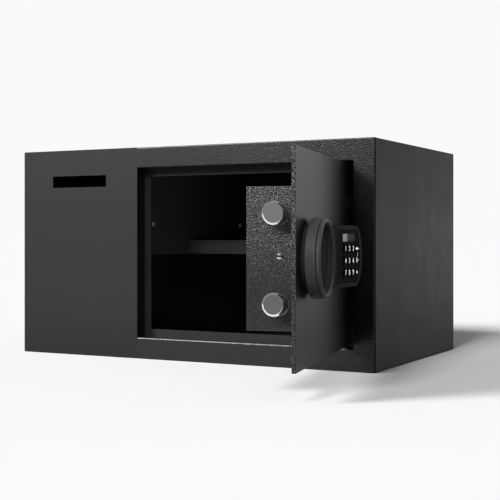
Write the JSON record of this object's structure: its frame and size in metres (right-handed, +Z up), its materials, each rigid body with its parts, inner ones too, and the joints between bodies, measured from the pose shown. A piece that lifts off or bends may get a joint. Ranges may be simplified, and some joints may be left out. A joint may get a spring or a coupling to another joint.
{
  "type": "drop safe",
  "caption": "Sheet steel drop safe with a deposit slot on the left and a hinged door with a keypad, a turning knob and two sliding bolts.",
  "frame": {"origin": "centre of the cabinet's bottom face", "axes": "+X to the right along the front, +Y to the back, +Z up; the door stands open at rest"},
  "size_m": [0.5063, 0.5142, 0.25],
  "materials": {
    "black_plastic": "matte",
    "board_green": "satin",
    "bolt_chrome": "bright chrome, brushed end",
    "bright_steel": "bright",
    "bush_brass": "satin",
    "cell_wrap": "gloss sleeve",
    "coil_brass": "taped coil",
    "dark_steel": "oiled",
    "display_glass": "clear over a grey display",
    "door_powder": "fine matte powder coat",
    "drop_powder": "smooth matte powder coat",
    "front_powder": "textured powder coat with small glints",
    "inner_paint": "matte black paint",
    "jamb_powder": "satin powder coat",
    "key_plastic": "satin black",
    "key_rubber": "matte",
    "knob_plastic": "satin",
    "lock_powder": "coarse textured powder coat",
    "nylon": "matte",
    "pad_face": "gloss black",
    "pad_plastic": "fine moulded texture",
    "shell_powder": "fine matte powder coat",
    "zinc_steel": "zinc plated"
  },
  "bodies": {
    "cabinet": {"body_shell": "shell_powder", "back_panel": "shell_powder", "drop_panel": "drop_powder", "front_frame": "front_powder", "jamb_frame": "jamb_powder", "partition": "inner_paint", "partition_screws": "bright_steel", "shelf": "inner_paint", "shelf_rivets": "dark_steel", "drop_chute": "inner_paint", "fishing_baffle": "inner_paint", "hinge_pins": "dark_steel", "hinge_washers": "nylon"},
    "door": {"door_plate": "door_powder", "hinge_lugs": "jamb_powder", "lock_chassis": "zinc_steel", "lock_cover": "lock_powder", "cover_screws": "bright_steel", "cover_posts": "zinc_steel", "battery_tray": "black_plastic", "battery_cells": "cell_wrap", "battery_lid": "lock_powder", "control_board": "board_green", "solenoid": "coil_brass", "spindle_bush": "bush_brass", "knob_collar": "black_plastic", "keypad_housing": "pad_plastic", "keypad_face": "pad_face", "display_window": "display_glass", "key_membrane": "key_rubber", "keypad_board": "board_green"},
    "knob": {"knob_grip": "knob_plastic", "knob_bezel": "knob_plastic", "knob_cap": "knob_plastic", "spindle": "zinc_steel", "crank": "zinc_steel"},
    "bolts": {"bolt_upper": "bolt_chrome", "bolt_lower": "bolt_chrome", "bolt_carriage": "zinc_steel"},
    "plunger": {"solenoid_plunger": "bright_steel"},
    "key_1": {"key_1": "key_plastic"},
    "key_2": {"key_2": "key_plastic"},
    "key_3": {"key_3": "key_plastic"},
    "key_menu": {"key_menu": "key_plastic"},
    "key_4": {"key_4": "key_plastic"},
    "key_5": {"key_5": "key_plastic"},
    "key_6": {"key_6": "key_plastic"},
    "key_0": {"key_0": "key_plastic"},
    "key_7": {"key_7": "key_plastic"},
    "key_8": {"key_8": "key_plastic"},
    "key_9": {"key_9": "key_plastic"},
    "key_enter": {"key_enter": "key_plastic"}
  },
  "joints": [
    {"name": "door_hinge", "type": "hinge", "parent": "cabinet", "child": "door", "pos_m": [0.1955, -0.1245, 0.1255], "axis": [0, 0, 1], "range_deg": [-102.5, 15]},
    {"name": "knob_turn", "type": "hinge", "parent": "door", "child": "knob", "pos_m": [0.24594, -0.32893, 0.1255], "axis": [0.9763, 0.2164, 0], "range_deg": [0, 90]},
    {"name": "bolt_slide", "type": "slide", "parent": "door", "child": "bolts", "axis": [0.2164, -0.9763, 0], "range_m": [0, 0.015]},
    {"name": "plunger_slide", "type": "slide", "parent": "door", "child": "plunger", "axis": [-0.2164, 0.9763, 0], "range_m": [0, 0.004], "stiffness_N_per_m": 150, "springref_m": -0.002},
    {"name": "press_key_1", "type": "slide", "parent": "door", "child": "key_1", "axis": [-0.9999, -0.0122, 0], "range_m": [0, 0.0009], "stiffness_N_per_m": 400, "springref_m": -0.0005},
    {"name": "press_key_2", "type": "slide", "parent": "door", "child": "key_2", "axis": [-0.9999, -0.0122, 0], "range_m": [0, 0.0009], "stiffness_N_per_m": 400, "springref_m": -0.0005},
    {"name": "press_key_3", "type": "slide", "parent": "door", "child": "key_3", "axis": [-0.9999, -0.0122, 0], "range_m": [0, 0.0009], "stiffness_N_per_m": 400, "springref_m": -0.0005},
    {"name": "press_key_menu", "type": "slide", "parent": "door", "child": "key_menu", "axis": [-0.9999, -0.0122, 0], "range_m": [0, 0.0009], "stiffness_N_per_m": 400, "springref_m": -0.0005},
    {"name": "press_key_4", "type": "slide", "parent": "door", "child": "key_4", "axis": [-0.9999, -0.0122, 0], "range_m": [0, 0.0009], "stiffness_N_per_m": 400, "springref_m": -0.0005},
    {"name": "press_key_5", "type": "slide", "parent": "door", "child": "key_5", "axis": [-0.9999, -0.0122, 0], "range_m": [0, 0.0009], "stiffness_N_per_m": 400, "springref_m": -0.0005},
    {"name": "press_key_6", "type": "slide", "parent": "door", "child": "key_6", "axis": [-0.9999, -0.0122, 0], "range_m": [0, 0.0009], "stiffness_N_per_m": 400, "springref_m": -0.0005},
    {"name": "press_key_0", "type": "slide", "parent": "door", "child": "key_0", "axis": [-0.9999, -0.0122, 0], "range_m": [0, 0.0009], "stiffness_N_per_m": 400, "springref_m": -0.0005},
    {"name": "press_key_7", "type": "slide", "parent": "door", "child": "key_7", "axis": [-0.9999, -0.0122, 0], "range_m": [0, 0.0009], "stiffness_N_per_m": 400, "springref_m": -0.0005},
    {"name": "press_key_8", "type": "slide", "parent": "door", "child": "key_8", "axis": [-0.9999, -0.0122, 0], "range_m": [0, 0.0009], "stiffness_N_per_m": 400, "springref_m": -0.0005},
    {"name": "press_key_9", "type": "slide", "parent": "door", "child": "key_9", "axis": [-0.9999, -0.0122, 0], "range_m": [0, 0.0009], "stiffness_N_per_m": 400, "springref_m": -0.0005},
    {"name": "press_key_enter", "type": "slide", "parent": "door", "child": "key_enter", "axis": [-0.9999, -0.0122, 0], "range_m": [0, 0.0009], "stiffness_N_per_m": 400, "springref_m": -0.0005}
  ],
  "couplings": [
    {"joint": "bolt_slide", "follows": "knob_turn", "m_per_rad": 0.0095483}
  ]
}
